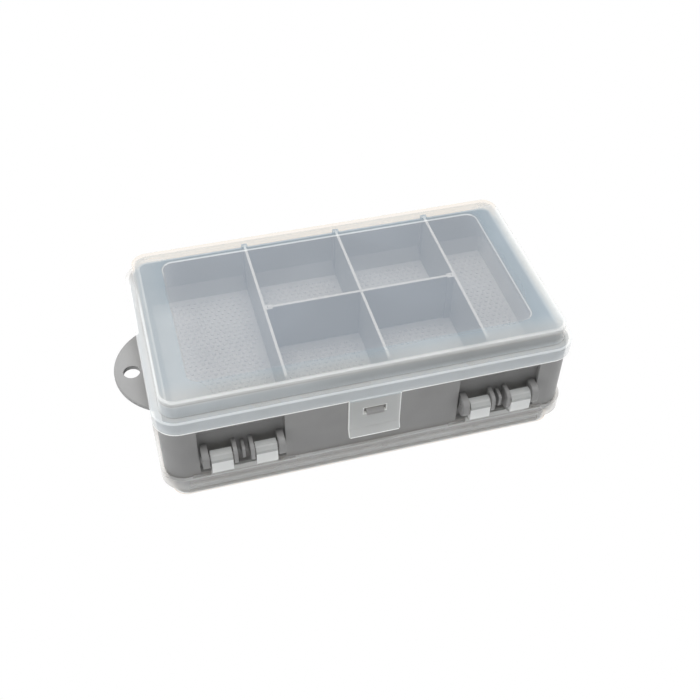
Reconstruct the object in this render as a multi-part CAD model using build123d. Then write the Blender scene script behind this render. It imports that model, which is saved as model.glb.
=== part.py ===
"""Double-sided compartment box with two see-through lids, modelled closed.

Millimetres, +Z up, +X along the length, the latch of the top lid at the front (-Y).
The origin is the middle of the flat base, which is the crown of the lower lid.
The lower lid is the top lid turned half a turn about the box's long axis, so the top
lid hinges at the back and the lower one at the front.
"""
import os
from math import atan2, degrees

from build123d import *

os.makedirs("parts", exist_ok=True)

# Closed box, without the hang tab
box_length = 165.0
box_depth = 92.0
box_height = 54.0

# Lid moulding
lid_wall = 1.2
lid_corner_radius = 9.5
skirt_height = 6.2
ledge_edge_bevel = 0.6
dome_height = 7.6
dome_inset = 3.0
dome_draft = 0.5
dome_edge_bevel = 0.7
panel_end_margin = 15.5
panel_side_margin = 12.5
panel_corner_radius = 4.0
panel_recess = 0.5
panel_bevel = 0.8

# Hinges, two to each lid
hinge_inset = 31.2
hinge_drop = 10.9
hinge_proud = 0.3
leaf_length = 25.6
leaf_drop = 3.4
rim_step_length = 40.0
rim_step_drop = 0.7
knuckle_radius = 2.8
knuckle_length = 8.2
knuckle_offset = 8.5
strap_thickness = 1.5
strap_rise = 5.8
strap_lean = 1.2
strap_seat = 0.8
snap_mouth = 1.9
pin_radius = 1.2
pin_proud = 0.3
pin_seat_depth = 1.0
pin_running_gap = 0.06
pin_seat_gap = 0.02

# Latch tongue of each lid and the catch that it snaps over
latch_width = 20.6
latch_foot_gap = 6.5
latch_thickness = 1.2
latch_gap = 0.3
latch_corner_radius = 1.0
lip_height = 4.0
lip_flare = 1.4
slot_width = 9.0
slot_height = 3.2
slot_drop = 5.1
catch_width = 6.8
catch_reach = 1.4
catch_gap = 0.4
catch_ramp = 1.3

# Body moulding
body_gap = 0.3
rim_lead = 0.75
seat_gap = 0.3
floor_thickness = 4.4
foot_run = 2.6
foot_rise = 6.4
tray_gap = 1.0
tray_wall = 1.2
tray_lean = 0.4
tray_headroom = 2.5
pocket_length = 33.2
pocket_depth = 1.9
pocket_margin = 1.2
pocket_scoop = 4.0
pocket_entry = 1.2
ear_half_height = 4.3
ear_reach = 2.7
ear_corner_radius = 2.6
outer_ear_offset = 14.5
outer_ear_thickness = 2.6
inner_ear_offset = 3.2
inner_ear_thickness = 1.5
rib_half_height = 3.0
rib_reach = 1.4
rib_corner_bevel = 0.9
rib_thickness = 1.2

# Dividers of one side and the grooved posts that hold them
left_divider_inset = 50.4
right_divider_inset = 35.8
divider_thickness = 1.1
divider_headroom = 0.3
divider_corner_radius = 3.0
divider_slack = 0.2
post_wall = 0.6
post_depth = 1.4
post_setback = 0.1
post_end_wall = 0.6
cross_post_depth = 2.6

# Hang tab
tab_reach = 11.0
tab_radius = 24.7
tab_thickness = 1.8
tab_edge_bevel = 0.4
tab_hole_radius = 3.3
tab_hole_inset = 6.9
tab_lift = 2.1

# Overrun of every cut, and how far moulded features sink into what carries them
overrun = 1.0
bond = 0.5

# Levels and half sizes that follow
half_length = box_length / 2
half_depth = box_depth / 2
middle = box_height / 2
lid_height = skirt_height + dome_height
skirt_edge = box_height - lid_height
ledge = box_height - dome_height
panel_length = box_length - 2 * panel_end_margin
panel_depth = box_depth - 2 * panel_side_margin
hinge_offset = half_length - hinge_inset
hinge_y = half_depth + hinge_proud
hinge_z = skirt_edge - hinge_drop
leaf_tip = skirt_edge - leaf_drop
pin_inner_end = inner_ear_offset + inner_ear_thickness / 2 - pin_seat_depth
pin_outer_end = outer_ear_offset + outer_ear_thickness / 2 + pin_proud
latch_top = skirt_edge - latch_gap
latch_foot = lid_height + latch_foot_gap
latch_height = latch_top - latch_foot
body_inset = lid_wall + body_gap
body_half_length = half_length - body_inset
body_half_depth = half_depth - body_inset
body_corner_radius = lid_corner_radius - body_inset
rim_height = skirt_height - lid_wall - seat_gap
rim_top = skirt_edge + rim_height
floor_top = middle + floor_thickness / 2
tray_inset = dome_inset + lid_wall + tray_gap
tray_half_length = half_length - tray_inset
tray_half_depth = half_depth - tray_inset
tray_corner_radius = lid_corner_radius - tray_inset
tray_top = box_height - lid_wall - tray_headroom
cell_half_length = tray_half_length - tray_wall
cell_half_depth = tray_half_depth - tray_wall
cell_corner_radius = tray_corner_radius - tray_wall
panel_underside = box_height - panel_recess - lid_wall
divider_top = panel_underside - divider_headroom
divider_height = divider_top - floor_top
pocket_face = body_half_depth - pocket_depth
post_outer_face = tray_half_depth - tray_lean - post_setback
groove_end = post_outer_face - post_end_wall
divider_end = groove_end - divider_slack
divider_depth = 2 * divider_end
divider_pitch = (box_length - left_divider_inset - right_divider_inset) / 2
divider_places = [left_divider_inset - half_length + divider_pitch * step for step in range(3)]
groove_width = divider_thickness + divider_slack
post_width = groove_width + 2 * post_wall
post_inner_face = cell_half_depth - post_depth
long_axis = Axis((0, 0, middle), (1, 0, 0))


def turned(shape):
    """Turn a top-side shape half a turn about the long axis, to the same place below."""
    return shape.rotate(long_axis, 180)


def upright_block(length, depth, radius, base, height, taper=0):
    """Make an upright block with rounded corners, centred in plan, standing on a level."""
    outline = Plane.XY.offset(base) * RectangleRounded(length, depth, radius)
    return extrude(outline, amount=height, taper=taper)


def span_box(x_low, x_high, y_low, y_high, z_low, z_high):
    """Make a box from its limits along the three axes."""
    centre = Pos((x_low + x_high) / 2, (y_low + y_high) / 2, (z_low + z_high) / 2)
    return centre * Box(x_high - x_low, y_high - y_low, z_high - z_low)


def across(profile, place, length):
    """Run a depth-and-height profile along X, centred on a place."""
    return extrude(Plane.YZ.offset(place - length / 2) * profile, amount=length, dir=(1, 0, 0))


def write(shape, name):
    """Write one node as a single solid."""
    solids = shape.solids()
    if len(solids) != 1:
        raise ValueError(f"{name} is {len(solids)} solids")
    export_step(solids[0], f"parts/{name}.step")


# Lids


def lid_panel(top):
    """Make the shallow bevelled recess of the lid's crown, its mouth at the level given."""
    corner = panel_corner_radius
    bottom_outline = RectangleRounded(panel_length, panel_depth, corner)
    mouth_length = panel_length + 2 * panel_bevel
    mouth_depth = panel_depth + 2 * panel_bevel
    mouth_outline = RectangleRounded(mouth_length, mouth_depth, corner + panel_bevel)
    bottom_face = Plane.XY.offset(top - panel_recess) * bottom_outline
    mouth_face = Plane.XY.offset(top) * mouth_outline
    return loft([bottom_face.face(), mouth_face.face()])


def lid_shell():
    """Make the stepped shell: skirt, ledge and drafted dome of one wall thickness."""
    draft = degrees(atan2(dome_draft, dome_height))
    skirt = upright_block(box_length, box_depth, lid_corner_radius, skirt_edge, skirt_height)
    skirt = chamfer(skirt.edges().group_by(Axis.Z)[-1], ledge_edge_bevel)
    dome_length = box_length - 2 * dome_inset
    dome_depth = box_depth - 2 * dome_inset
    dome_corner = lid_corner_radius - dome_inset
    dome = upright_block(dome_length, dome_depth, dome_corner, ledge, dome_height, draft)
    dome = chamfer(dome.edges().group_by(Axis.Z)[-1], dome_edge_bevel)
    hollow_skirt = upright_block(
        box_length - 2 * lid_wall,
        box_depth - 2 * lid_wall,
        lid_corner_radius - lid_wall,
        skirt_edge - overrun,
        skirt_height - lid_wall + overrun,
    )
    hollow_dome = upright_block(
        dome_length - 2 * lid_wall,
        dome_depth - 2 * lid_wall,
        dome_corner - lid_wall,
        ledge - lid_wall,
        dome_height,
        draft,
    )
    hollow_dome -= lid_panel(box_height - lid_wall)
    return skirt + dome - hollow_skirt - hollow_dome - lid_panel(box_height)


def knuckle_profile():
    """Outline one snap knuckle: a split eight-sided barrel and the bent strap that carries it."""
    outer_face = hinge_y + knuckle_radius
    inner_face = outer_face - strap_thickness
    leaf_inner = half_depth - lid_wall
    strap = Polygon(
        (outer_face, hinge_z),
        (outer_face, hinge_z + strap_rise),
        (half_depth, leaf_tip + strap_seat),
        (leaf_inner, leaf_tip + strap_seat),
        (leaf_inner, leaf_tip),
        (inner_face, hinge_z + strap_rise - strap_lean),
        (inner_face, hinge_z),
        align=None,
    )
    barrel = Pos(hinge_y, hinge_z) * RegularPolygon(knuckle_radius, 8, major_radius=False, rotation=22.5)
    bore = Pos(hinge_y, hinge_z) * Circle(pin_radius + pin_running_gap)
    mouth_centre = Pos(hinge_y - knuckle_radius / 2 - overrun / 2, hinge_z)
    mouth = mouth_centre * Rectangle(knuckle_radius + overrun, snap_mouth)
    return barrel + strap - bore - mouth


def hinge_leaf(place):
    """Make one hinge leaf of the lid: its stepped rim, upright leaf and two knuckles."""
    leaf_inner = half_depth - lid_wall
    limits_up = (leaf_inner, half_depth)
    rim_reach = rim_step_length / 2
    leaf_reach = leaf_length / 2
    step = span_box(
        place - rim_reach, place + rim_reach, *limits_up, skirt_edge - rim_step_drop, skirt_edge + bond
    )
    leaf = span_box(place - leaf_reach, place + leaf_reach, *limits_up, leaf_tip, skirt_edge + bond)
    leaf += step
    for side in (-1, 1):
        leaf += across(knuckle_profile(), place + side * knuckle_offset, knuckle_length)
    return leaf


def lid():
    """Make the whole lid moulding, in the place of the top lid."""
    shape = lid_shell()
    for side in (-1, 1):
        shape += hinge_leaf(side * hinge_offset)
    return shape


def latch():
    """Make the latch tongue below the lid's front skirt, with its slot and flared lip."""
    lip_start = latch_foot + lip_height
    back = latch_thickness - half_depth
    profile = Polygon(
        (-half_depth, latch_top),
        (-half_depth, lip_start),
        (-half_depth - lip_flare, latch_foot),
        (back - lip_flare, latch_foot),
        (back, lip_start),
        (back, latch_top),
        align=None,
    )
    tongue = across(profile, 0, latch_width)
    outline_height = latch_height + 2 * latch_corner_radius
    outline = RectangleRounded(latch_width, outline_height, latch_corner_radius)
    front_plane = Plane.XZ.offset(half_depth + lip_flare + overrun)
    outline_at = front_plane * Pos(0, latch_foot + outline_height / 2)
    reach = latch_thickness + lip_flare + 2 * overrun
    tongue &= extrude(outline_at * outline, amount=-reach)
    slot_at = front_plane * Pos(0, skirt_edge - slot_drop - slot_height / 2)
    slot = slot_at * Rectangle(slot_width, slot_height)
    return tongue - extrude(slot, amount=-reach)


# Body


def tray_cell():
    """Make the hollow of the top tray: a bevelled foot around the floor and upright walls."""
    foot_top = floor_top + foot_rise
    length = 2 * cell_half_length
    depth = 2 * cell_half_depth
    radius = cell_corner_radius
    floor_outline = RectangleRounded(length - 2 * foot_run, depth - 2 * foot_run, radius - foot_run)
    wall_outline = RectangleRounded(length, depth, radius)
    floor_face = Plane.XY.offset(floor_top) * floor_outline
    wall_face = Plane.XY.offset(foot_top) * wall_outline
    foot = loft([floor_face.face(), wall_face.face()])
    return foot + upright_block(length, depth, radius, foot_top, tray_top - foot_top + overrun)


def body_shell():
    """Make the double tray: belt, tapered shoulders, and leaning lips around a hollow on each side.

    The lids' ledges come down on the shoulders, and the lips rise into the lids' domes.
    """
    lead = degrees(atan2(rim_lead, rim_height))
    length = 2 * body_half_length
    depth = 2 * body_half_depth
    radius = body_corner_radius
    belt = upright_block(length, depth, radius, lid_height, skirt_edge - lid_height)
    rim = upright_block(length, depth, radius, skirt_edge, rim_height, lead)
    lip_rise = tray_top - rim_top + bond
    lean = degrees(atan2(tray_lean, lip_rise))
    lip = upright_block(
        2 * tray_half_length, 2 * tray_half_depth, tray_corner_radius, rim_top - bond, lip_rise, lean
    )
    cell = tray_cell()
    shell = belt + rim + turned(rim) + lip + turned(lip)
    return shell - cell - turned(cell)


def hinge_pocket(place):
    """Make the scooped recess behind one hinge of the top lid, for cutting."""
    low = lid_height + pocket_margin
    high = skirt_edge - pocket_margin
    profile = Polygon(
        (body_half_depth, low),
        (pocket_face, low + pocket_scoop),
        (pocket_face, high - pocket_entry),
        (body_half_depth, high),
        (body_half_depth + overrun, high),
        (body_half_depth + overrun, low),
        align=None,
    )
    return across(profile, place, pocket_length)


def ear(place, thickness, half_height, reach, corner, ease):
    """Make one upright ear of a hinge, its free corners rounded or bevelled off."""
    root = pocket_face - bond
    face = hinge_y + reach
    plate = Pos((root + face) / 2, hinge_z) * Rectangle(face - root, 2 * half_height)
    plate = ease(plate.vertices().group_by(Axis.X)[-1], corner)
    return across(plate, place, thickness)


def hinge_ears(place):
    """Make the four ears of one hinge, without their bores, and the low rib between them."""
    ears = ear(place, rib_thickness, rib_half_height, rib_reach, rib_corner_bevel, chamfer)
    for side in (-1, 1):
        for offset, thickness in (
            (outer_ear_offset, outer_ear_thickness),
            (inner_ear_offset, inner_ear_thickness),
        ):
            ears += ear(
                place + side * offset, thickness, ear_half_height, ear_reach, ear_corner_radius, fillet
            )
    return ears


def rod(place, side, radius, inner_end, outer_end):
    """Make a rod on one hinge's axis, between two distances from the hinge's middle."""
    length = outer_end - inner_end
    middle_x = place + side * (inner_end + outer_end) / 2
    return Pos(middle_x, hinge_y, hinge_z) * Rot(0, 90, 0) * Cylinder(radius, length)


def pin(place, side):
    """Make the pin of one knuckle: through the outer ear and seated in the inner one."""
    return rod(place, side, pin_radius, pin_inner_end, pin_outer_end)


def pin_bore(place, side):
    """Make the cutter for one pin's bore, blind in the inner ear."""
    return rod(place, side, pin_radius + pin_seat_gap, pin_inner_end - pin_seat_gap, pin_outer_end + overrun)


def catch():
    """Make the ramped catch that holds the top lid's latch, on the front wall."""
    slot_top = skirt_edge - slot_drop
    high = slot_top - catch_gap
    low = slot_top - slot_height + catch_gap
    root = bond - body_half_depth
    tip = -half_depth - catch_reach
    profile = Polygon(
        (root, high), (-body_half_depth, high), (tip, high - catch_ramp), (tip, low), (root, low), align=None
    )
    return across(profile, 0, catch_width)


def divider_posts():
    """Make the grooved posts for the long dividers of the top side.

    The back posts stand as high as the dividers; the front ones stop with the tray's wall.
    """
    posts = []
    reach = post_width / 2
    root = floor_top - bond
    for place in divider_places:
        sides = (place - reach, place + reach)
        posts.append(span_box(*sides, post_inner_face, post_outer_face, root, divider_top))
        posts.append(span_box(*sides, -post_outer_face, -post_inner_face, root, tray_top))
    return posts


def divider_grooves():
    """Make the cutters for the grooves in the top side's posts."""
    half_groove = groove_width / 2
    return [
        span_box(
            place - half_groove, place + half_groove, -groove_end, groove_end, floor_top, divider_top + overrun
        )
        for place in divider_places
    ]


def body():
    """Make the whole body moulding."""
    shape = body_shell()
    hinges = [side * hinge_offset for side in (-1, 1)]
    outside = [hinge_ears(place) for place in hinges] + [catch()]
    pockets = [hinge_pocket(place) for place in hinges]
    bores = [pin_bore(place, side) for place in hinges for side in (-1, 1)]
    for feature in divider_posts():
        shape = shape + feature + turned(feature)
    for groove in divider_grooves():
        shape = shape - groove - turned(groove)
    for pocket in pockets:
        shape = shape - pocket - turned(pocket)
    for feature in outside:
        shape = shape + feature + turned(feature)
    for bore in bores:
        shape = shape - bore - turned(bore)
    return shape


def hang_tab():
    """Make the rounded hang tab on the left end, with its hole."""
    tip = -half_length - tab_reach
    disc = Pos(tip + tab_radius, 0) * Circle(tab_radius)
    keep = Pos(tip - overrun, 0) * Rectangle(
        tab_radius + overrun, 2 * (tab_radius + overrun), align=(Align.MIN, Align.CENTER)
    )
    beyond_wall = Pos(-body_half_length, 0) * Rectangle(
        2 * tab_radius, 2 * (tab_radius + overrun), align=(Align.MIN, Align.CENTER)
    )
    outline = disc & keep
    outline -= beyond_wall
    tab_middle = middle + tab_lift
    underside = Plane.XY.offset(tab_middle - tab_thickness / 2)
    plate = extrude(underside * outline, amount=tab_thickness)
    rim_edges = plate.edges().filter_by(GeomType.CIRCLE)
    plate = chamfer(rim_edges, tab_edge_bevel)
    hole_at = Pos(tip + tab_hole_inset, 0, tab_middle)
    hole = hole_at * Cylinder(tab_hole_radius, tab_thickness + 2 * overrun)
    return plate - hole


# Dividers


def long_divider(place):
    """Make one divider that runs from front to back, its front corner eased for the lid."""
    plate = Pos(0, (floor_top + divider_top) / 2) * Rectangle(divider_depth, divider_height)
    front_top = plate.vertices().group_by(Axis.Y)[-1].sort_by(Axis.X)[0]
    plate = fillet(front_top, divider_corner_radius)
    return across(plate, place, divider_thickness)


def cross_post(place, side):
    """Make the grooved post on a long divider that holds one end of the cross divider."""
    face = place + side * divider_thickness / 2
    root = place
    tip = face + side * cross_post_depth
    groove_root = face + side * post_wall
    block = span_box(
        min(root, tip), max(root, tip), -post_width / 2, post_width / 2, floor_top, divider_top
    )
    groove_tip = tip + side * overrun
    groove = span_box(
        min(groove_root, groove_tip),
        max(groove_root, groove_tip),
        -groove_width / 2,
        groove_width / 2,
        floor_top - overrun,
        divider_top + overrun,
    )
    return block - groove


def cross_divider():
    """Make the divider between the outer two, notched from below over the middle one."""
    inset = divider_thickness / 2 + post_wall + divider_slack
    plate = span_box(
        divider_places[0] + inset,
        divider_places[2] - inset,
        -divider_thickness / 2,
        divider_thickness / 2,
        floor_top,
        divider_top,
    )
    return plate - lap_notch(floor_top - overrun, floor_top + divider_height / 2 + divider_slack / 2)


def lap_notch(low, high):
    """Make the cutter for the half-lap where the cross divider meets the middle one."""
    half_groove = groove_width / 2
    place = divider_places[1]
    return span_box(place - half_groove, place + half_groove, -half_groove, half_groove, low, high)


def dividers():
    """Make the four dividers of the top side, by name."""
    left, centre, right = divider_places
    lap_level = floor_top + divider_height / 2 - divider_slack / 2
    return {
        "divider_left": long_divider(left) + cross_post(left, 1),
        "divider_centre": long_divider(centre) - lap_notch(lap_level, divider_top + overrun),
        "divider_right": long_divider(right) + cross_post(right, -1),
        "divider_cross": cross_divider(),
    }


# Write every node, the lower copies turned from the top ones
write(body(), "body")
write(hang_tab(), "hang_tab")
top_side = {"lid": lid(), "latch": latch(), **dividers()}
for hand, hinge_side in (("left", -1), ("right", 1)):
    for end, side in (("left", -1), ("right", 1)):
        top_side[f"{hand}_hinge_{end}_pin"] = pin(hinge_side * hinge_offset, side)
for node, shape in top_side.items():
    write(shape, f"top_{node}")
    write(turned(shape), f"bottom_{node}")
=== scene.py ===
"""Dress the double-sided compartment box in its plastics and set it in a soft white studio."""

import logging
import math
from dataclasses import dataclass
from enum import Enum
from functools import cached_property

import bpy
import numpy as np
from mathutils import Euler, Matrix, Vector


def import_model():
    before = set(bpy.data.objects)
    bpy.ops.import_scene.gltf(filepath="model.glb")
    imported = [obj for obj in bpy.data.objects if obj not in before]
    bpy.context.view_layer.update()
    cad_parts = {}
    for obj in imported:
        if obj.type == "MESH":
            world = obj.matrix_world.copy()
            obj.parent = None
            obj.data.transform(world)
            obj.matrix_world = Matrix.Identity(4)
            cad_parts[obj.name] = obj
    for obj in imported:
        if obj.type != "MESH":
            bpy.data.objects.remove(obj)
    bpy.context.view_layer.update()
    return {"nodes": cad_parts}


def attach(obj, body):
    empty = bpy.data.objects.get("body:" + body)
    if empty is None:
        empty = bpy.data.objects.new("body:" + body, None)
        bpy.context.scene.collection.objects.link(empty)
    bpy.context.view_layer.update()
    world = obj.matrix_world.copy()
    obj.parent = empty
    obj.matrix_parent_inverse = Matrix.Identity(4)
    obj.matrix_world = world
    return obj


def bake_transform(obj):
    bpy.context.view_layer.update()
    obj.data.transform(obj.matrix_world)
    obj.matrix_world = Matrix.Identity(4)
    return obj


LOG = logging.getLogger("compartment_box")

# A millimetre in metres
MM = 0.001

# Height of the box's middle plane, in millimetres
MIDDLE = 27.0

# Heights of a lid's crown, ledge and lower edge above the middle plane, in millimetres
CROWN = 25.6
LEDGE = 19.2
SKIRT = 13.2

Colour = tuple[float, float, float, float]
Point = tuple[float, float, float]
Span = tuple[float, float]
Piece = bpy.types.Object
Material = bpy.types.Material
Tree = bpy.types.NodeTree
Node = bpy.types.Node
Socket = bpy.types.NodeSocket
Source = Socket | float | Colour

# The reach of a mask, and the ends of a ramp that falls
UNIT: Span = (0.0, 1.0)
FALL: Span = (1.0, 0.0)


def grey(level: float) -> Colour:
    """Give a linear grey."""
    return (level, level, level, 1.0)


def mm(first: float, second: float) -> Span:
    """Give two lengths in millimetres as a span in metres."""
    return (first * MM, second * MM)


class Side(Enum):
    """The two faces of the box. The lower one is the upper one turned half round its length."""

    TOP = "top"
    BOTTOM = "bottom"

    def node(self, piece: str) -> str:
        """Name a piece of this side."""
        return f"{self.value}_{piece}"

    def place(self, points: np.ndarray) -> np.ndarray:
        """Turn points of the upper side to this side.

        The half turn about the box's length keeps x, changes the sign of y and mirrors z about the middle
        plane.

        Args:
            points: Points in millimetres, with x, y and z in the last axis.

        Returns:
            The points on this side, in millimetres.
        """
        if self is Side.TOP:
            return points
        return points * np.array([1.0, -1.0, -1.0]) + np.array([0.0, 0.0, 2.0 * MIDDLE])


class NodeBench:
    """A workbench for one node tree: it adds nodes, sets their sockets and links them."""

    def __init__(self, tree: Tree) -> None:
        """Start on a node tree, which is emptied."""
        self.tree = tree
        self.tree.nodes.clear()

    def feed(self, socket: Socket, source: Source) -> None:
        """Link a socket to another one, or set its plain value.

        Args:
            socket: The socket that is fed.
            source: Another socket, a number or a colour.
        """
        if isinstance(source, Socket):
            self.tree.links.new(source, socket)
        else:
            socket.default_value = source

    def add(self, kind: str, inputs: dict[str | int, Source] | None = None, **settings: object) -> Node:
        """Add a node.

        Args:
            kind: Blender's name for the node.
            inputs: Sources for its input sockets, by name or number.
            settings: Properties of the node, set before its sockets are fed.

        Returns:
            The new node.
        """
        node = self.tree.nodes.new(kind)
        for key, value in settings.items():
            setattr(node, key, value)
        for key, source in (inputs or {}).items():
            self.feed(node.inputs[key], source)
        return node

    def calculate(self, operation: str, *terms: Source, clamp: bool = False) -> Socket:
        """Work out one step of arithmetic on values."""
        node = self.add("ShaderNodeMath", dict(enumerate(terms)), operation=operation, use_clamp=clamp)
        return node.outputs[0]

    def product(self, first: Source, *others: Source) -> Source:
        """Multiply values, one after another.

        Args:
            first: The first value.
            others: The values that it is multiplied by.

        Returns:
            The product.
        """
        for other in others:
            first = self.calculate("MULTIPLY", first, other)
        return first

    def ramp(
        self, value: Source, span: tuple[Source, Source], start: Source = 0.0, end: Source = 1.0
    ) -> Socket:
        """Carry a value that runs over a span smoothly over to start and end."""
        inputs = {"Value": value, "From Min": span[0], "From Max": span[1], "To Min": start, "To Max": end}
        return self.add("ShaderNodeMapRange", inputs, interpolation_type="SMOOTHSTEP").outputs["Result"]

    def tint(self, share: Source, first: Source, second: Source) -> Socket:
        """Mix two colours by a share. Blender's Mix node has colours at inputs 6 and 7 and at output 2."""
        node = self.add("ShaderNodeMix", {"Factor": share, 6: first, 7: second}, data_type="RGBA")
        return node.outputs[2]

    def mix(self, share: Source, first: Socket, second: Socket) -> Socket:
        """Mix two shaders by a share."""
        return self.add("ShaderNodeMixShader", {0: share, 1: first, 2: second}).outputs[0]

    def group(self, tree: Tree, inputs: dict[str, Source]) -> Node:
        """Place a shared group with its own values."""
        return self.add("ShaderNodeGroup", inputs, node_tree=tree)

    def place(self) -> Socket:
        """Give the piece's own coordinates in metres."""
        return self.add("ShaderNodeTexCoord").outputs["Object"]

    def seen(self) -> Socket:
        """Mask what the camera sees, straight or mirrored in a gloss."""
        path = self.add("ShaderNodeLightPath")
        return self.calculate("MAXIMUM", path.outputs["Is Camera Ray"], path.outputs["Is Glossy Ray"])

    def outside(self, run: Source, depth: Source, half: Span, corner: float) -> Socket:
        """Measure how far a point lies outside a rounded rectangle about the middle.

        The corner's centre is taken from run and depth, what is left below nothing is cut off, and the length
        of the two together less the corner's radius is the distance.

        Args:
            run: The point's distance from the middle along the rectangle's length.
            depth: Its distance from the middle along the rectangle's depth.
            half: Half the rectangle's length and depth.
            corner: The radius of its corners.

        Returns:
            The distance in metres, less than nothing inside.
        """
        squares = []
        for distance, reach in zip((run, depth), half):
            past = self.calculate("MAXIMUM", self.calculate("SUBTRACT", distance, reach - corner), 0.0)
            squares.append(self.product(past, past))
        length = self.calculate("SQRT", self.calculate("ADD", *squares))
        return self.calculate("SUBTRACT", length, corner)

    def box_measures(self, place: Source, middle: Source) -> dict[str, Socket]:
        """Measure a point from the box's middle.

        Run is the distance along x and Across its signed value, Depth the distance along y and Rise the
        distance either way in z. Back is y towards the hinges of the side that the point is on.

        Args:
            place: The point.
            middle: The height of the middle plane.

        Returns:
            The measures by name.
        """
        x, y, z = self.add("ShaderNodeSeparateXYZ", {0: place}).outputs
        offset = self.calculate("SUBTRACT", z, middle)
        return {
            "Run": self.calculate("ABSOLUTE", x),
            "Across": x,
            "Depth": self.calculate("ABSOLUTE", y),
            "Rise": self.calculate("ABSOLUTE", offset),
            "Back": self.calculate("MULTIPLY", y, self.calculate("SIGN", offset)),
        }


class GroupBench(NodeBench):
    """The bench of a node group that is shared by finishes."""

    def __init__(self, name: str, inputs: dict[str, float | None], outputs: list[str]) -> None:
        """Open a new group.

        Args:
            name: The group's name.
            inputs: Its inputs with their usual values; None makes a vector.
            outputs: The names of the values it puts out.
        """
        super().__init__(bpy.data.node_groups.new(name, "ShaderNodeTree"))
        for key, value in inputs.items():
            kind = "NodeSocketVector" if value is None else "NodeSocketFloat"
            socket = self.tree.interface.new_socket(key, in_out="INPUT", socket_type=kind)
            if value is not None:
                socket.default_value = value
        for key in outputs:
            self.tree.interface.new_socket(key, in_out="OUTPUT", socket_type="NodeSocketFloat")
        self.entry = self.add("NodeGroupInput").outputs
        self.leave = self.add("NodeGroupOutput").inputs

    def close(self, values: dict[str, Socket]) -> Tree:
        """Link the values that the group puts out.

        Args:
            values: The values by the names of the outputs.

        Returns:
            The group's node tree.
        """
        for key, source in values.items():
            self.feed(self.leave[key], source)
        return self.tree


@dataclass(frozen=True)
class Grain:
    """The grain of a moulded face, with pits and clouds per metre, and its edges rounded in the shading."""

    pits: float = 1500.0
    clouds: float = 40.0
    strength: float = 0.12
    depth: float = 0.1 * MM
    edge_round: float = 0.25 * MM
    edge_samples: int = 4


class SharedEffects:
    """The node groups that more than one finish uses, each built once, when it is first asked for."""

    noise_reach: Span = (0.3, 0.7)

    @cached_property
    def mould_grain(self) -> Tree:
        """Make the grain of a moulded face: fine pits, and slow clouds where the plastic flowed.

        Returns:
            The group's node tree.
        """
        inputs = {"Vector": None, "Pits per metre": Grain.pits, "Clouds per metre": Grain.clouds}
        bench = GroupBench("mould_grain", inputs, ["Pits", "Clouds", "Height"])
        place, pit_rate, cloud_rate = (bench.entry[key] for key in inputs)
        pits = bench.add(
            "ShaderNodeTexNoise", {"Vector": place, "Scale": pit_rate, "Detail": 3.0, "Roughness": 0.6}
        ).outputs[0]
        clouds = bench.add(
            "ShaderNodeTexNoise", {"Vector": place, "Scale": cloud_rate, "Detail": 2.0, "Distortion": 0.4}
        ).outputs[0]
        masks = {"Pits": bench.ramp(pits, self.noise_reach), "Clouds": bench.ramp(clouds, self.noise_reach)}
        return bench.close({**masks, "Height": pits})

    @cached_property
    def box_places(self) -> Tree:
        """Measure a point from the box's middle.

        To the measures of box_measures it adds Swing, which is z towards the free end of the hinge straps or
        of the tongue that hang on the point's face.

        Returns:
            The group's node tree.
        """
        outputs = ["Run", "Across", "Depth", "Rise", "Back", "Swing"]
        bench = GroupBench("box_places", {"Vector": None, "Middle": MIDDLE * MM}, outputs)
        values = bench.box_measures(bench.entry["Vector"], bench.entry["Middle"])
        swing = bench.calculate("MULTIPLY", values["Rise"], bench.calculate("SIGN", values["Back"]))
        return bench.close({**values, "Swing": swing})

    @cached_property
    def fine_line(self) -> Tree:
        """Make a soft line: full where a value meets a level, and gone a half width to either side of it.

        Returns:
            The group's node tree.
        """
        bench = GroupBench("fine_line", {"Value": 0.0, "Level": 0.0, "Half width": 1.0 * MM}, ["Line"])
        away = bench.calculate("SUBTRACT", bench.entry["Value"], bench.entry["Level"])
        away = bench.calculate("ABSOLUTE", away)
        return bench.close({"Line": bench.ramp(away, (0.0, bench.entry["Half width"]), *FALL)})


class MaterialBench(NodeBench):
    """The bench of a new material."""

    def __init__(self, name: str) -> None:
        """Start a material.

        Args:
            name: The material's name.
        """
        self.material = bpy.data.materials.new(name)
        self.material.use_nodes = True
        super().__init__(self.material.node_tree)

    def close(self, surface: Socket) -> Material:
        """Put a shader on the surface and give the material."""
        self.add("ShaderNodeOutputMaterial", {"Surface": surface})
        return self.material


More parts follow.
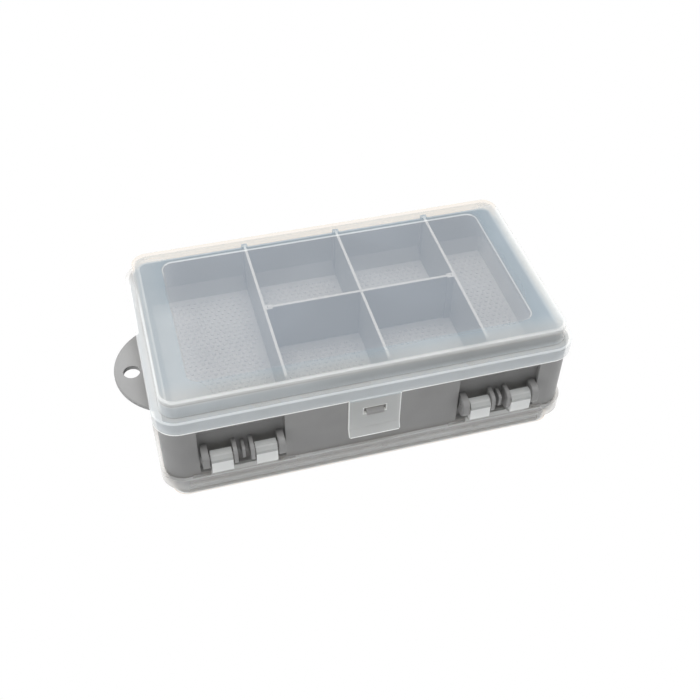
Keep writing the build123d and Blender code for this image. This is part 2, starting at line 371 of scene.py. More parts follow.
class FinishBench(MaterialBench):
    """The bench of a plastic finish, with its grain and with the places of points on the box."""

    def __init__(self, name: str, effects: SharedEffects, grain: Grain) -> None:
        """Start a finish.

        Args:
            name: The material's name.
            effects: The shared node groups.
            grain: The grain of its faces.
        """
        super().__init__(name)
        self.effects = effects
        self.point = self.place()
        self.grain = self.group(
            effects.mould_grain,
            {"Vector": self.point, "Pits per metre": grain.pits, "Clouds per metre": grain.clouds},
        )
        self.where = self.group(effects.box_places, {"Vector": self.point})
        bevel = self.add("ShaderNodeBevel", {"Radius": grain.edge_round}, samples=grain.edge_samples)
        self.rounded = bevel.outputs[0]
        relief = {"Height": self.grain.outputs["Height"], "Strength": grain.strength, "Distance": grain.depth}
        self.normal = self.add("ShaderNodeBump", {**relief, "Normal": self.rounded}).outputs[0]

    def measure(self, key: str) -> Socket:
        """Give one measure of a point from the box's middle."""
        return self.where.outputs[key]

    def fade(self, key: str, span: Span, start: Source = 0.0, end: Source = 1.0) -> Socket:
        """Carry a measure that runs over a span smoothly over to start and end."""
        return self.ramp(self.measure(key), span, start, end)

    def outline(self, half: Span, corner: float) -> Socket:
        """Measure how far a point lies outside a rounded outline of the box."""
        return self.outside(self.measure("Run"), self.measure("Depth"), half, corner)

    def line(self, value: Source, at: Span) -> Socket:
        """Place the shared soft line on a value, with its level and its half width."""
        inputs = {"Value": value, "Level": at[0], "Half width": at[1]}
        return self.group(self.effects.fine_line, inputs).outputs[0]

    def grained(self, key: str, ends: Span) -> Socket:
        """Run between two values by the pits or the clouds of the grain."""
        return self.ramp(self.grain.outputs[key], UNIT, *ends)


@dataclass(frozen=True)
class GreyPlastic:
    """A grey moulded plastic with fine grain, slow clouds and a highlight painted paler on the edges above a
    height.

    The usual height of the edges is above the box, which leaves them out.
    """

    name: str
    shade: Colour
    cloud: Colour
    # Colour of the edges above the height, a painted highlight
    edge: Colour
    highlight_rise: Span = mm(100.0, 110.0)
    roughness: Span = (0.36, 0.5)
    refraction: float = 1.49
    grain: Grain = Grain()

    def colour(self, bench: FinishBench) -> Socket:
        """Run from shade to cloud by the slow clouds, and to the edge colour, a painted highlight, above the
        edge's height.
        """
        plain = bench.tint(bench.grain.outputs["Clouds"], self.shade, self.cloud)
        return bench.tint(bench.fade("Rise", self.highlight_rise), plain, self.edge)

    def make(self, effects: SharedEffects) -> Material:
        """Build the finish.

        Args:
            effects: The shared node groups.

        Returns:
            The material.
        """
        bench = FinishBench(self.name, effects, self.grain)
        shell = bench.add(
            "ShaderNodeBsdfPrincipled",
            {
                "Base Color": self.colour(bench),
                "Roughness": bench.grained("Pits", self.roughness),
                "IOR": self.refraction,
                "Normal": bench.normal,
            },
        )
        return bench.close(shell.outputs[0])


@dataclass(frozen=True)
class TrayPlastic(GreyPlastic):
    """The tray's grey plastic, with shade painted darker in the hollows behind the hinges.

    The first span of a direction is where the hollows start, and the second where they end.
    """

    # Painted shade in the hollows behind the hinges, and the spans where it starts and ends
    painted_shade: Colour = grey(0.2)
    painted_shade_run: tuple[Span, Span] = (mm(34.3, 35.1), mm(67.3, 68.5))
    painted_shade_depth: tuple[Span, Span] = (mm(40.8, 41.6), mm(42.8, 44.0))
    painted_shade_rise: Span = mm(12.3, 12.7)

    def colour(self, bench: FinishBench) -> Socket:
        """Paint shade into the plain colour inside the hollows.

        Args:
            bench: The bench of the finish.

        Returns:
            The colour.
        """
        # Mask of the painted shade in the hollows
        mask = bench.fade("Rise", self.painted_shade_rise, *FALL)
        for key, (near, far) in (("Run", self.painted_shade_run), ("Depth", self.painted_shade_depth)):
            mask = bench.product(mask, bench.fade(key, near), bench.fade(key, far, *FALL))
        return bench.tint(mask, super().colour(bench), self.painted_shade)


@dataclass(frozen=True)
class MilkyPlastic:
    """The see-through plastic of the lids: a milky veil on clear plastic, with a gloss.

    The veil and the gloss are worked out where a ray enters the plastic. Where it leaves, the plastic only
    tints it. Light on its way in meets a part of the veil, as milky plastic passes most of what it scatters.

    A span of lengths is where a mask starts and ends, in the measure that it is named for. An edge is a fine
    line: its level and its half width. The pale lines are painted highlights, some of them glowing, and the
    hinge-side corners hold painted shade.
    """

    name: str
    grain: Grain = Grain(pits=400.0, clouds=25.0, strength=0.015, edge_round=0.2 * MM)
    roughness: Span = (0.4, 0.5)
    gloss_roughness: float = 0.1
    refraction: float = 1.48

    # Colours of the veil; corner is painted shade and pale is the colour of the painted highlights
    panel: Colour = (0.66, 0.755, 0.87, 1.0)
    crown: Colour = (0.64, 0.82, 0.97, 1.0)
    front: Colour = (0.52, 0.58, 0.62, 1.0)
    latch_side: Colour = (0.84, 0.92, 0.98, 1.0)
    other_side: Colour = (0.86, 0.92, 0.98, 1.0)
    hinge: Colour = (0.79, 0.82, 0.825, 1.0)
    # Painted shade on the hinge-side corners
    corner: Colour = (0.56, 0.565, 0.57, 1.0)
    pale: Colour = (0.94, 0.97, 0.98, 1.0)

    # Painted glow given off by the pale lines, which are painted highlights, and tints of what leaves the
    # plastic
    painted_glow: Colour = (0.22, 0.215, 0.2, 1.0)
    through: Colour = (0.985, 0.95, 0.9, 1.0)
    warm_through: Colour = (1.0, 0.83, 0.66, 1.0)

    # Shares of the veil; two values are those at the left and at the right
    crown_haze: float = 0.27
    margin_haze: Span = (0.055, 0.06)
    front_haze: Span = (0.1, 0.19)
    latch_dome_haze: Span = (0.6, 0.31)
    latch_side_haze: float = 0.57
    other_side_haze: float = 0.24
    # Veil share of the hinge-side corners, which also carry painted shade
    corner_shade_haze: float = 0.36
    barrel_haze: float = 0.5

    # What the ledge, the clouds of the grain and light on its way in leave of the veil
    ledge_share: float = 0.5
    cloud_share: Span = (0.96, 1.04)
    light_share: float = 0.5

    # Pale lines, which are painted highlights: the veil's share on each, and how pale it is
    panel_line_veil: Span = (0.62, 0.9)
    dome_line_veil: Span = (0.67, 0.85)
    ledge_line_veil: Span = (0.5, 0.5)
    skirt_line_veil: Span = (0.95, 1.0)
    strap_veil: Span = (0.78, 0.5)
    left_end_veil: Span = (0.42, 0.3)

    # Outlines of the panel, the dome and the skirt
    panel_half: Span = mm(67.0, 33.5)
    panel_corner: float = 4.0 * MM
    dome_half: Span = mm(78.6, 42.1)
    dome_corner: float = 6.0 * MM
    skirt_half: Span = mm(82.5, 46.0)
    skirt_corner: float = 9.5 * MM

    # The crown, its margins and its panel
    crown_start: Span = mm(CROWN - 1.0, CROWN)
    crown_flat: Span = mm(CROWN, CROWN + 0.3)
    front_back: Span = mm(-41.0, -31.0)
    front_across: Span = mm(-10.0, 25.0)
    margin_run: Span = mm(58.0, 76.0)
    margin_back: Span = mm(36.5, 38.5)
    margin_across: Span = mm(-10.0, 10.0)
    margin_paleness: Span = (0.4, 0.15)
    panel_rim: Span = mm(0.0, 1.0)
    panel_edge: Span = mm(0.4, 0.72)
    panel_back: Span = mm(31.0, 33.0)
    panel_right_across: Span = mm(64.5, 66.5)
    panel_right_strength: Span = (0.08, 0.8)
    panel_left_across: Span = mm(-66.5, -64.5)
    panel_left_back: Span = mm(14.0, 31.0)
    panel_left_strength: Span = (0.8, 0.0)

    # The dome and the ledge
    dome_rim: Span = mm(-0.9, 0.0)
    dome_line_rise: Span = mm(CROWN - 2.1, CROWN + 0.3)
    dome_line_back: Span = mm(5.0, 36.0)
    dome_line_strength: Span = (1.0, 0.2)
    latch_dome_across: Span = mm(-65.0, 40.0)
    latch_dome_rise: Span = mm(LEDGE + 0.4, LEDGE + 3.0)
    ledge_rim: Span = mm(-0.9, -0.3)
    ledge_edge: Span = mm(LEDGE, 0.5)
    ledge_flat_rim: Span = mm(-0.9, -0.5)
    ledge_flat_edge: Span = mm(LEDGE + 0.2, 0.35)
    left_end_across: Span = mm(-79.0, -78.4)
    left_end_rise: Span = mm(LEDGE - 1.0, LEDGE)

    # The walls, the skirt and what hangs from it
    off_latch_back: Span = mm(-38.0, -30.0)
    # Where the hinge-side corners hold painted shade, and the share of the painted highlights kept there
    corner_shade_run: Span = mm(70.0, 80.0)
    corner_shade_back: Span = mm(32.0, 42.0)
    corner_shade_paleness: float = 0.15
    skirt_edge: Span = mm(SKIRT + 0.2, 0.8)
    skirt_line_back: Span = mm(-10.0, 25.0)
    skirt_hinge_strength: float = 0.5
    tongue_run: Span = mm(10.3, 10.6)
    hung_rise: Span = mm(SKIRT - 1.0, SKIRT - 0.3)
    strap_rise: Span = mm(SKIRT - 1.0, SKIRT)
    strap_start_swing: Span = mm(2.1, 2.7)
    strap_end_swing: Span = mm(7.8, 8.4)

    # The warm tint of what leaves by the dome's walls
    warm_rim: Span = mm(-0.2, 0.1)
    warm_back: Span = mm(35.0, 39.0)
    warm_rise: Span = mm(LEDGE + 0.3, LEDGE + 0.6)
    warm_end_strength: float = 0.3

    def panel_line(self, bench: FinishBench) -> Socket:
        """Mask the panel's bevel, a painted highlight set by the light's side: strong on the hinge side, less
        at the ends and faint on the latch side.

        Args:
            bench: The bench of the finish.

        Returns:
            The mask.
        """
        bevel = bench.line(bench.outline(self.panel_half, self.panel_corner), self.panel_edge)
        back = bench.fade("Back", self.panel_back)
        right = bench.fade("Across", self.panel_right_across, *self.panel_right_strength)
        left = bench.fade("Across", self.panel_left_across, *self.panel_left_strength)
        left = bench.product(left, bench.fade("Back", self.panel_left_back))
        strength = bench.calculate("MAXIMUM", back, bench.calculate("MAXIMUM", right, left))
        return bench.product(bevel, bench.fade("Rise", self.crown_flat), strength)

    def dome_line(self, bench: FinishBench) -> Socket:
        """Mask the upper edge of the dome, a painted highlight, fading down its sides and faint along the
        hinge side.

        Args:
            bench: The bench of the finish.

        Returns:
            The mask.
        """
        beyond = bench.ramp(bench.outline(self.dome_half, self.dome_corner), self.dome_rim)
        upper = bench.fade("Rise", self.dome_line_rise)
        strength = bench.fade("Back", self.dome_line_back, *self.dome_line_strength)
        return bench.product(beyond, upper, strength)

    def ledge_line(self, bench: FinishBench) -> Socket:
        """Mask the outer edge of the ledge, a painted highlight."""
        beyond = bench.ramp(bench.outline(self.skirt_half, self.skirt_corner), self.ledge_rim)
        return bench.product(beyond, bench.line(bench.measure("Rise"), self.ledge_edge))

    def ledge_flat(self, bench: FinishBench) -> Socket:
        """Mask the flat of the ledge, which is clearer than the walls beside it."""
        inside = bench.ramp(bench.outline(self.skirt_half, self.skirt_corner), self.ledge_flat_rim, *FALL)
        return bench.product(bench.line(bench.measure("Rise"), self.ledge_flat_edge), inside)

    def skirt_line(self, bench: FinishBench) -> Socket:
        """Mask the skirt's lower edge, a painted highlight, less on the hinge side and not where the tongue
        hangs from it.

        Args:
            bench: The bench of the finish.

        Returns:
            The mask.
        """
        beside_tongue = bench.fade("Run", self.tongue_run)
        strength = bench.fade("Back", self.skirt_line_back, beside_tongue, self.skirt_hinge_strength)
        return bench.product(bench.line(bench.measure("Rise"), self.skirt_edge), strength)

    def strap(self, bench: FinishBench) -> Socket:
        """Mask the flat straps that carry the hinge barrels, with a painted highlight where they catch the
        light.

        Args:
            bench: The bench of the finish.

        Returns:
            The mask.
        """
        below = bench.fade("Swing", self.strap_start_swing)
        above = bench.fade("Swing", self.strap_end_swing, *FALL)
        return bench.product(below, above, bench.fade("Rise", self.strap_rise, *FALL))

    def left_end(self, bench: FinishBench) -> Socket:
        """Mask the end towards the hang tab below the crown, where the plastic is seen along its walls and is
        painted paler as a highlight.
        """
        end = bench.fade("Across", self.left_end_across, *FALL)
        return bench.product(end, bench.fade("Rise", self.left_end_rise))

    def off_crown(self, bench: FinishBench) -> Socket:
        """Mask what lies below the crown."""
        return bench.fade("Rise", self.crown_start, *FALL)

    def hinge_corner_shade(self, bench: FinishBench) -> Socket:
        """Mask the corners of the walls on the hinge side, where the veil is thicker, as the eye looks along
        the most plastic, and painted a darker grey as shade.
        """
        corner = bench.product(bench.fade("Run", self.corner_shade_run), bench.fade("Back", self.corner_shade_back))
        return bench.product(corner, self.off_crown(bench))

    def front_margin(self, bench: FinishBench) -> Socket:
        """Mask the crown's margin towards the latch, where the plastic is cloudier and greyer."""
        return bench.fade("Back", self.front_back, *FALL)

    def end_margins(self, bench: FinishBench) -> Socket:
        """Mask the crown's margins at its ends, where the plastic is cloudier.

        Args:
            bench: The bench of the finish.

        Returns:
            The mask.
        """
        end = bench.fade("Run", self.margin_run)
        inside = bench.fade("Back", self.margin_back, *FALL)
        return bench.product(end, inside, bench.fade("Rise", self.crown_flat))

    def veil(self, bench: FinishBench) -> tuple[Source, Source]:
        """Work out the veil's share of the surface, and how pale it is.

        It has one value on the crown, others on the sides and the hinges, and stands out in lines along the
        panel's bevel and the edges, painted highlights where light leaves the plastic.

        Args:
            bench: The bench of the finish.

        Returns:
            The share, and a mask of the pale places, which are painted highlights.
        """
        latch_dome = bench.fade("Across", self.latch_dome_across, *self.latch_dome_haze)
        latch_side = bench.fade("Rise", self.latch_dome_rise, self.latch_side_haze, latch_dome)
        side = bench.fade("Back", self.off_latch_back, latch_side, self.other_side_haze)
        front = bench.fade("Across", self.front_across, *self.front_haze)
        crown = bench.calculate("ADD", bench.product(self.front_margin(bench), front), self.crown_haze)
        share = bench.fade("Rise", self.crown_start, side, crown)
        share = bench.product(share, bench.ramp(self.ledge_flat(bench), UNIT, 1.0, self.ledge_share))
        margin = bench.fade("Across", self.margin_across, *self.margin_haze)
        share = bench.calculate("ADD", share, bench.product(self.end_margins(bench), margin))
        # Painted shade at the hinge-side corners raises the veil's share there
        corners = self.hinge_corner_shade(bench)
        share = bench.calculate("ADD", share, bench.product(corners, self.corner_shade_haze))
        share = bench.calculate("MAXIMUM", share, bench.fade("Rise", self.hung_rise, self.barrel_haze, 0.0))
        lines = (
            (self.panel_line(bench), self.panel_line_veil),
            (self.dome_line(bench), self.dome_line_veil),
            (self.ledge_line(bench), self.ledge_line_veil),
            (self.skirt_line(bench), self.skirt_line_veil),
            (self.strap(bench), self.strap_veil),
            (self.left_end(bench), self.left_end_veil),
        )
        share, pale = self.with_lines(bench, share, lines)
        # The painted highlights mostly give way to the painted shade at the hinge-side corners
        return share, bench.product(pale, bench.ramp(corners, UNIT, 1.0, self.corner_shade_paleness))

    def with_lines(
        self, bench: FinishBench, share: Source, lines: tuple[tuple[Source, Span], ...]
    ) -> tuple[Source, Source]:
        """Raise a share, and gather a mask of pale places, the painted highlights, by masks of lines.

        Args:
            bench: The bench of the finish.
            share: The veil's share between the lines.
            lines: For each line its mask, and with it the share on the line and how pale it is.

        Returns:
            The share, and the mask of pale places.
        """
        pale: Source = 0.0
        for mask, (haze, paleness) in lines:
            share = bench.calculate("MAXIMUM", share, bench.product(mask, haze))
            pale = bench.calculate("MAXIMUM", pale, bench.product(mask, paleness))
        return share, pale

    def colour(self, bench: FinishBench, pale: Source) -> Socket:
        """Work out the veil's colour.

        Args:
            bench: The bench of the finish.
            pale: The mask of the pale places, the painted highlights.

        Returns:
            The colour.
        """
        beyond_panel = bench.ramp(bench.outline(self.panel_half, self.panel_corner), self.panel_rim)
        crown = bench.tint(beyond_panel, self.panel, self.crown)
        crown = bench.tint(self.front_margin(bench), crown, self.front)
        margin = bench.fade("Across", self.margin_across, *self.margin_paleness)
        crown = bench.tint(bench.product(self.end_margins(bench), margin), crown, self.pale)
        walls = bench.tint(bench.fade("Back", self.off_latch_back), self.latch_side, self.other_side)
        # Painted shade: the hinge-side corners are tinted a darker grey
        walls = bench.tint(self.hinge_corner_shade(bench), walls, self.corner)
        walls = bench.tint(bench.fade("Rise", self.hung_rise, *FALL), walls, self.hinge)
        return bench.tint(pale, bench.tint(self.off_crown(bench), crown, walls), self.pale)

    def leaving_tint(self, bench: FinishBench) -> Socket:
        """Tint what leaves the plastic.

        Light that leaves by the dome's outer faces on the hinge side and, less, at the ends is warmer, as it
        has passed along the dome's wall. The places are measured here by the material's own nodes.

        Args:
            bench: The bench of the finish.

        Returns:
            The tint.
        """
        at = bench.box_measures(bench.point, MIDDLE * MM)
        outline = bench.outside(at["Run"], at["Depth"], self.dome_half, self.dome_corner)
        ends = bench.ramp(at["Back"], self.off_latch_back, 0.0, self.warm_end_strength)
        strength = bench.ramp(at["Back"], self.warm_back, ends, 1.0)
        on_wall = bench.product(bench.ramp(outline, self.warm_rim), bench.ramp(at["Rise"], self.warm_rise))
        return bench.tint(bench.product(on_wall, strength), self.through, self.warm_through)

    def make(self, effects: SharedEffects) -> Material:
        """Build the finish.

        Args:
            effects: The shared node groups.

        Returns:
            The material.
        """
        bench = FinishBench(self.name, effects, self.grain)
        share, pale = self.veil(bench)
        share = bench.calculate("MULTIPLY", share, bench.grained("Clouds", self.cloud_share), clamp=True)
        path = bench.add("ShaderNodeLightPath")
        share = bench.product(share, bench.ramp(path.outputs["Is Shadow Ray"], UNIT, 1.0, self.light_share))
        # Painted glow: the pale lines below the crown give off light as painted highlights
        light = bench.tint(bench.product(pale, self.off_crown(bench)), grey(0.0), self.painted_glow)
        milk = bench.add(
            "ShaderNodeBsdfPrincipled",
            {
                "Base Color": self.colour(bench, pale),
                "Roughness": bench.grained("Pits", self.roughness),
                "Specular IOR Level": 0.0,
                "Alpha": share,
                "Emission Color": light,
                "Emission Strength": 1.0,
                "Normal": bench.normal,
            },
        )
        shine = {"Color": grey(1.0), "Roughness": self.gloss_roughness, "Normal": bench.normal}
        gloss = bench.add("ShaderNodeBsdfGlossy", shine)
        mirror = bench.add("ShaderNodeFresnel", {"IOR": self.refraction, "Normal": bench.rounded})
        entry = bench.mix(mirror.outputs[0], milk.outputs[0], gloss.outputs[0])
        exit_tint = bench.add("ShaderNodeBsdfTransparent", {"Color": self.leaving_tint(bench)})
        leaving = bench.add("ShaderNodeNewGeometry").outputs["Backfacing"]
        return bench.close(bench.mix(leaving, entry, exit_tint.outputs[0]))


@dataclass(frozen=True)
class TonguePlastic(MilkyPlastic):
    """The lids' plastic on the latch tongues: milkier, with highlights painted as bright edges round the
    tongue and its slot.
    """

    tongue_haze: Span = (0.57, 0.63)
    tongue_swing: Span = mm(-13.0, 7.0)
    # Painted highlights along the tongue's edges and round its slot
    edge_veil: Span = (0.95, 1.0)
    slot_veil: Span = (0.95, 0.8)
    side_edge: Span = mm(10.2, 0.45)
    foot_edge: Span = mm(6.5, 0.5)
    slot_edge: Span = mm(0.1, 0.35)
    slot_half: Span = mm(4.5, 1.6)
    slot_swing: float = -6.5 * MM

    def veil(self, bench: FinishBench) -> tuple[Source, Source]:
        """Work out the veil's share on the tongue, and how pale it is, with painted highlights on its edges
        and round its slot.

        Args:
            bench: The bench of the finish.

        Returns:
            The share, and a mask of the pale places.
        """
        run, swing = bench.measure("Run"), bench.measure("Swing")
        from_slot = bench.calculate("ABSOLUTE", bench.calculate("SUBTRACT", swing, self.slot_swing))
        past_x = bench.calculate("SUBTRACT", run, self.slot_half[0])
        past_z = bench.calculate("SUBTRACT", from_slot, self.slot_half[1])
        lines = (
            (bench.line(run, self.side_edge), self.edge_veil),
            (bench.line(swing, self.foot_edge), self.edge_veil),
            (bench.line(bench.calculate("MAXIMUM", past_x, past_z), self.slot_edge), self.slot_veil),
        )
        plain = bench.fade("Swing", self.tongue_swing, *self.tongue_haze)
        return self.with_lines(bench, plain, lines)


def make_piece(name: str, points: np.ndarray, faces: list[np.ndarray], smooth: list[bool]) -> Piece:
    """Make one piece from arrays of points and faces.

    Args:
        name: The piece's name.
        points: Its points in millimetres, three numbers in each row.
        faces: Arrays of faces, each with one number of corners.
        smooth: Whether the faces of each array are shaded smoothly.

    Returns:
        The piece, at the origin with its place in its mesh.
    """
    mesh = bpy.data.meshes.new(name)
    corners = [row for block in faces for row in block.tolist()]
    mesh.from_pydata((points * MM).tolist(), [], corners)
    flags = np.concatenate([np.full(len(block), flag) for block, flag in zip(faces, smooth)])
    mesh.polygons.foreach_set("use_smooth", flags)
    mesh.update()
    piece = bpy.data.objects.new(name, mesh)
    bpy.context.scene.collection.objects.link(piece)
    return piece


def dress(pieces: list[Piece], finish: Material) -> list[Piece]:
    """Put one finish on some pieces.

    Args:
        pieces: The pieces.
        finish: The material.

    Returns:
        The same pieces.
    """
    for piece in pieces:
        piece.data.materials.clear()
        piece.data.materials.append(finish)
    return pieces


@dataclass
class Tray:
    """The grey body with its hang tab, and the raised dots on its two floors.

    Sizes are in millimetres, and the angles of a dot's rings in degrees.
    """

    effects: SharedEffects
    floor_rise: float = 2.2
    floor_half: Span = (73.5, 37.0)
    dot_pitch: float = 2.6
    dot_radius: float = 0.8
    dot_height: float = 0.13
    dot_sink: float = 0.02
    dot_sides: int = 6
    dot_rings: tuple[float, ...] = (0.0, 45.0)
    long_walls: tuple[float, ...] = (-32.1, 7.3, 46.7)
    cross_wall: float = 0.0
    edge_clearance: float = 0.5
    wall_clearance: float = 2.6
    post_clearance: Span = (5.4, 3.6)
    # The tray's rim above the highlight rise is painted paler, a painted highlight
    finish: TrayPlastic = TrayPlastic(
        "tray_grey", grey(0.285), grey(0.315), grey(0.315), highlight_rise=mm(22.9, 23.25)
    )
    dot_finish: GreyPlastic = GreyPlastic("dot_grey", grey(0.3), grey(0.34), grey(0.32))

    def dot_centres(self) -> np.ndarray:
        """Place the dots in staggered rows, off the walls, the posts and the floor's edge.

        Every second row is moved along by half a pitch, and the rows are half the root of three of a pitch
        apart.

        Returns:
            The centres, x and y in each row.
        """
        step = self.dot_pitch * math.sqrt(3.0) / 2.0
        last_place = round(self.floor_half[0] / self.dot_pitch)
        last_row = round(self.floor_half[1] / step)
        places = np.arange(-last_place, last_place + 1)
        along, across = np.meshgrid(places, np.arange(-last_row, last_row + 1))
        x = (along + 0.5 * (across % 2)) * self.dot_pitch
        y = across * step
        edge = self.dot_radius + self.edge_clearance
        inside = (np.abs(x) < self.floor_half[0] - edge) & (np.abs(y) < self.floor_half[1] - edge)
        from_long = np.min(np.abs(x[..., None] - np.array(self.long_walls)), axis=-1)
        from_cross = np.abs(y - self.cross_wall)
        after = x > self.long_walls[0] - self.wall_clearance
        before = x < self.long_walls[-1] + self.wall_clearance
        inside &= from_long > self.wall_clearance
        inside &= ~(after & before & (from_cross < self.wall_clearance))
        inside &= ~((from_long < self.post_clearance[0]) & (from_cross < self.post_clearance[1]))
        return np.stack([x[inside], y[inside]], axis=1)

    def floor_dots(self, side: Side) -> Piece:
        """Make the dots of one floor.

        Each dot is a low dome of revolution: at an angle t its radius is the dot's radius times the cosine of
        t and its height the dot's height times the sine of t. A ring at each of two angles, a pole on top and
        a face below close it.

        Args:
            side: The face of the box.

        Returns:
            The piece.
        """
        centres = self.dot_centres()
        count = len(centres)
        sides = self.dot_sides
        turn = np.arange(sides) * 2.0 * math.pi / sides
        lift = np.radians(self.dot_rings)
        ring_x = self.dot_radius * np.cos(lift)[:, None] * np.cos(turn)[None, :]
        ring_y = self.dot_radius * np.cos(lift)[:, None] * np.sin(turn)[None, :]
        ring_z = self.dot_height * np.sin(lift)[:, None] * np.ones(sides)[None, :]
        dome = np.stack([ring_x, ring_y, ring_z], axis=-1).reshape(-1, 3)
        dome = np.vstack([dome, [[0.0, 0.0, self.dot_height]]])
        base = np.column_stack([centres, np.full(count, MIDDLE + self.floor_rise - self.dot_sink)])
        points = (base[:, None, :] + dome[None, :, :]).reshape(-1, 3)
        first = np.arange(sides)
        after = (first + 1) % sides
        walls = np.stack([first, after, after + sides, first + sides], axis=1)
        caps = np.stack([first + sides, after + sides, np.full(sides, 2 * sides)], axis=1)
        start = (np.arange(count) * len(dome))[:, None, None]
        blocks = [
            (walls[None] + start).reshape(-1, 4),
            (caps[None] + start).reshape(-1, 3),
            (first[::-1][None, None, :] + start).reshape(-1, sides),
        ]
        piece = make_piece(side.node("floor_dots"), side.place(points), blocks, [True, True, False])
        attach(piece, "body")
        return piece

    def build(self, nodes: dict[str, Piece]) -> list[Piece]:
        """Dress the body and the tab, and add the floor dots.

        Args:
            nodes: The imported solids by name.

        Returns:
            The pieces dressed or made.
        """
        moulding = [nodes["body"], nodes["hang_tab"]]
        dots = [self.floor_dots(side) for side in Side]
        moulding = dress(moulding, self.finish.make(self.effects))
        return moulding + dress(dots, self.dot_finish.make(self.effects))


@dataclass
class Dividers:
    """The slide-in walls of both sides, with a highlight painted pale on their upper edges."""

    effects: SharedEffects
    names: tuple[str, ...] = ("divider_left", "divider_centre", "divider_right", "divider_cross")
    finish: GreyPlastic = GreyPlastic(
        "divider_grey",
        grey(0.235),
        grey(0.255),
        # Pale upper edges: a painted highlight
        grey(0.43),
        highlight_rise=mm(24.6, 24.95),
        grain=Grain(pits=1700.0),
    )

    def build(self, nodes: dict[str, Piece]) -> list[Piece]:
        """Dress the dividers, and give them."""
        pieces = [nodes[side.node(name)] for side in Side for name in self.names]
        return dress(pieces, self.finish.make(self.effects))


@dataclass
class HingePins:
    """The short pins through the hinge ears of both lids."""

    effects: SharedEffects
    finish: GreyPlastic = GreyPlastic(
        "pin_grey",
        grey(0.24),
        grey(0.27),
        grey(0.27),
        roughness=(0.28, 0.4),
        grain=Grain(pits=2600.0, clouds=300.0, strength=0.06),
    )

    def build(self, nodes: dict[str, Piece]) -> list[Piece]:
        """Dress the pins, and give them."""
        pieces = [piece for name, piece in sorted(nodes.items()) if name.endswith("_pin")]
        return dress(pieces, self.finish.make(self.effects))


@dataclass
class Lids:
    """The two milky lids, their latch tongues and the thin webs that the tongues bend on.

    Sizes are in millimetres.
    """

    effects: SharedEffects
    web_half: float = 9.6
    web_face: float = -45.9
    web_thickness: float = 0.5
    web_pinch: float = 0.25
    web_top: float = 40.25
    web_foot: float = 39.85
    web_rows: int = 6
    finish: MilkyPlastic = MilkyPlastic("lid_milky")
    tongue: TonguePlastic = TonguePlastic("tongue_milky")

    def latch_web(self, side: Side) -> Piece:
        """Make the thin web between a lid's skirt and its latch tongue.

        A rectangle in x and y is carried down from the skirt to the tongue. Its thickness is least half way,
        less a share of the sine of the way down, as the real web is pinched there. A face closes each end.

        Args:
            side: The face of the box.

        Returns:
            The piece.
        """
        way = np.linspace(0.0, 1.0, self.web_rows)
        deep = self.web_thickness * (1.0 - self.web_pinch * np.sin(math.pi * way))
        height = self.web_top + (self.web_foot - self.web_top) * way
        share_x = np.array([-1.0, 1.0, 1.0, -1.0]) * self.web_half
        share_y = np.array([0.0, 0.0, 1.0, 1.0])
        sides = len(share_x)
        x = np.broadcast_to(share_x, (self.web_rows, sides))
        y = self.web_face + share_y[None, :] * deep[:, None]
        z = np.broadcast_to(height[:, None], (self.web_rows, sides))
        points = np.stack([x, y, z], axis=-1).reshape(-1, 3)
        row, corner = np.meshgrid(np.arange(self.web_rows - 1), np.arange(sides), indexing="ij")
        following = (corner + 1) % sides
        upper, lower = row * sides, (row + 1) * sides
        walls = np.stack([upper + corner, lower + corner, lower + following, upper + following], axis=-1)
        first = np.arange(sides)
        ends = np.array([first, first[::-1] + sides * (self.web_rows - 1)])
        blocks = [walls.reshape(-1, 4), ends]
        piece = make_piece(side.node("latch_web"), side.place(points), blocks, [True, False])
        ends_of_bend = side.place(
            np.array([[0.0, self.web_face, self.web_top], [0.0, self.web_face, self.web_foot]])
        )
        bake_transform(piece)
        return piece

    def build(self, nodes: dict[str, Piece]) -> list[Piece]:
        """Dress the lids and the tongues, and add the webs.

        Args:
            nodes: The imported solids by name.

        Returns:
            The pieces dressed or made.
        """
        lids = [nodes[side.node("lid")] for side in Side]
        tongues = [nodes[side.node("latch")] for side in Side]
        tongues += [self.latch_web(side) for side in Side]
        lids = dress(lids, self.finish.make(self.effects))
        return lids + dress(tongues, self.tongue.make(self.effects))


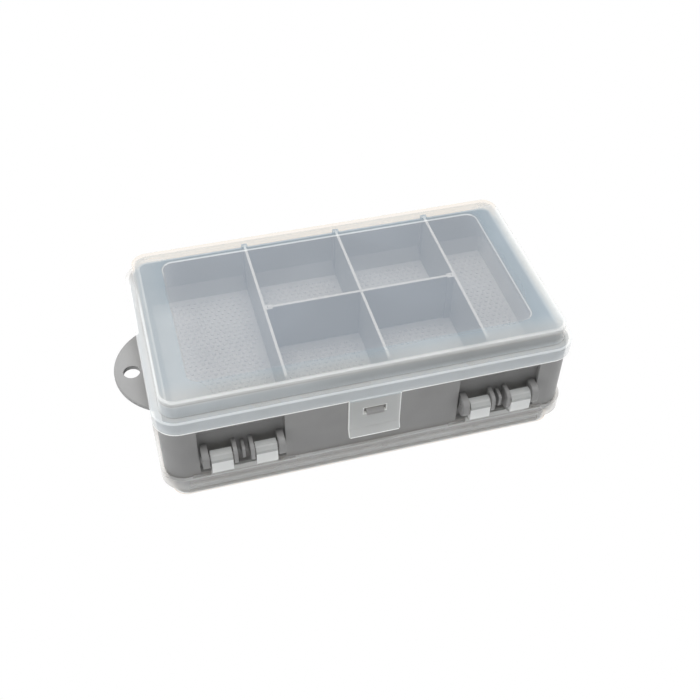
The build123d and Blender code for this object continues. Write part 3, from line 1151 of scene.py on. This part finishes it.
@dataclass
class Studio:
    """The white floor, the soft lights and the camera at the photograph's place.

    Sizes are in metres, the camera's turn is in degrees and its lens and sensor are in millimetres.
    """

    camera_place: Point = (-0.0825607, -0.2870336, 0.323906)
    camera_turn: Point = (44.513117, -0.994114, -15.637913)
    camera_lens: float = 52.206853
    camera_sensor: float = 36.0
    camera_near: float = 0.01
    floor_half: float = 3.0
    floor_height: float = -0.05 * MM
    floor_points: int = 5
    paper_white: float = 0.82
    shade_half: Span = (0.0783, 0.0417)
    shade_corner: float = 0.006
    shade_rim: Span = mm(-0.5, 0.0)
    shade_white: float = 0.17
    sky: float = 0.15
    softbox_power: float = 12.0
    softbox_size: float = 0.75
    softbox_place: Point = (-0.08, 0.1, 0.95)
    card_power: float = 0.7
    card_size: float = 0.4
    card_place: Point = (0.6, -0.15, 0.14)
    lamp_aim: Point = (0.0, 0.0, 0.03)

    def floor(self) -> None:
        """Lay a wide pale floor: a square grid of points at one height, just under the box."""
        count = self.floor_points
        grid = np.linspace(-self.floor_half, self.floor_half, count) / MM
        x, y = np.meshgrid(grid, grid)
        points = np.stack([x, y, np.full_like(x, self.floor_height / MM)], axis=-1).reshape(-1, 3)
        row, column = np.meshgrid(np.arange(count - 1), np.arange(count - 1), indexing="ij")
        first = row * count + column
        faces = np.stack([first, first + 1, first + count + 1, first + count], axis=-1).reshape(-1, 4)
        sheet = make_piece("studio_floor", points, [faces], [False])
        dress([sheet], self.paper())

    def paper(self) -> Material:
        """Make the floor's finish, which the camera sees as plain white paper, shaded only under the box.

        Returns:
            The material.
        """
        bench = MaterialBench("studio_paper")
        paper = bench.add("ShaderNodeBsdfDiffuse", {"Color": grey(self.paper_white)})
        bright = bench.add("ShaderNodeEmission", {"Color": grey(1.0), "Strength": 1.0})
        parts = bench.add("ShaderNodeSeparateXYZ", {0: bench.place()})
        run, depth = (bench.calculate("ABSOLUTE", parts.outputs[axis]) for axis in (0, 1))
        past = bench.outside(run, depth, self.shade_half, self.shade_corner)
        seen = bench.product(bench.seen(), bench.ramp(past, self.shade_rim, self.shade_white, 1.0))
        return bench.close(bench.mix(seen, paper.outputs[0], bright.outputs[0]))

    def lights(self) -> None:
        """Hang a large softbox over the box and a weak one at each end, in a white room.

        The room gives a little light from all sides, and the camera sees it as plain white.
        """
        world = bpy.data.worlds.new("studio_room")
        bpy.context.scene.world = world
        world.use_nodes = True
        bench = NodeBench(world.node_tree)
        room = bench.add("ShaderNodeBackground", {"Color": grey(1.0), "Strength": self.sky})
        paper = bench.add("ShaderNodeBackground", {"Color": grey(1.0), "Strength": 1.0})
        surface = bench.mix(bench.seen(), room.outputs[0], paper.outputs[0])
        bench.add("ShaderNodeOutputWorld", {"Surface": surface})
        self.lamp("softbox", self.softbox_power, self.softbox_size, self.softbox_place)
        x, y, z = self.card_place
        self.lamp("left_card", self.card_power, self.card_size, (-x, y, z))
        self.lamp("right_card", self.card_power, self.card_size, (x, y, z))

    def lamp(self, name: str, power: float, size: float, place: Point) -> None:
        """Hang one square lamp, aimed at the middle of the box and not mirrored in its gloss.

        Args:
            name: The lamp's name.
            power: Its power in watts.
            size: The length of its sides.
            place: Where it hangs.
        """
        data = bpy.data.lights.new(name, "AREA")
        data.energy = power
        data.size = size
        holder = bpy.data.objects.new(name, data)
        holder.location = place
        aim = Vector(self.lamp_aim) - holder.location
        holder.rotation_euler = aim.to_track_quat("-Z", "Y").to_euler()
        holder.visible_glossy = False
        bpy.context.scene.collection.objects.link(holder)

    def camera(self) -> None:
        """Stand the camera where the photograph was taken from."""
        data = bpy.data.cameras.new("photo_camera")
        data.lens = self.camera_lens
        data.sensor_width = self.camera_sensor
        data.clip_start = self.camera_near
        holder = bpy.data.objects.new("photo_camera", data)
        holder.location = self.camera_place
        holder.rotation_euler = Euler([math.radians(turn) for turn in self.camera_turn], "XYZ")
        bpy.context.scene.collection.objects.link(holder)
        bpy.context.scene.camera = holder

    def build(self) -> None:
        """Set up the whole studio."""
        self.floor()
        self.lights()
        self.camera()
        bpy.context.scene.view_settings.view_transform = "Standard"


def main() -> None:
    """Build the box's sub-assemblies in order and report each piece."""
    logging.basicConfig(level=logging.INFO, format="%(name)s: %(message)s")
    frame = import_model()
    nodes = frame["nodes"]
    effects = SharedEffects()
    Studio().build()
    for assembly in (Tray(effects), Dividers(effects), HingePins(effects), Lids(effects)):
        for piece in assembly.build(nodes):
            LOG.info("%s: %s, %d faces", type(assembly).__name__, piece.name, len(piece.data.polygons))


if __name__ == "__main__":
    main()
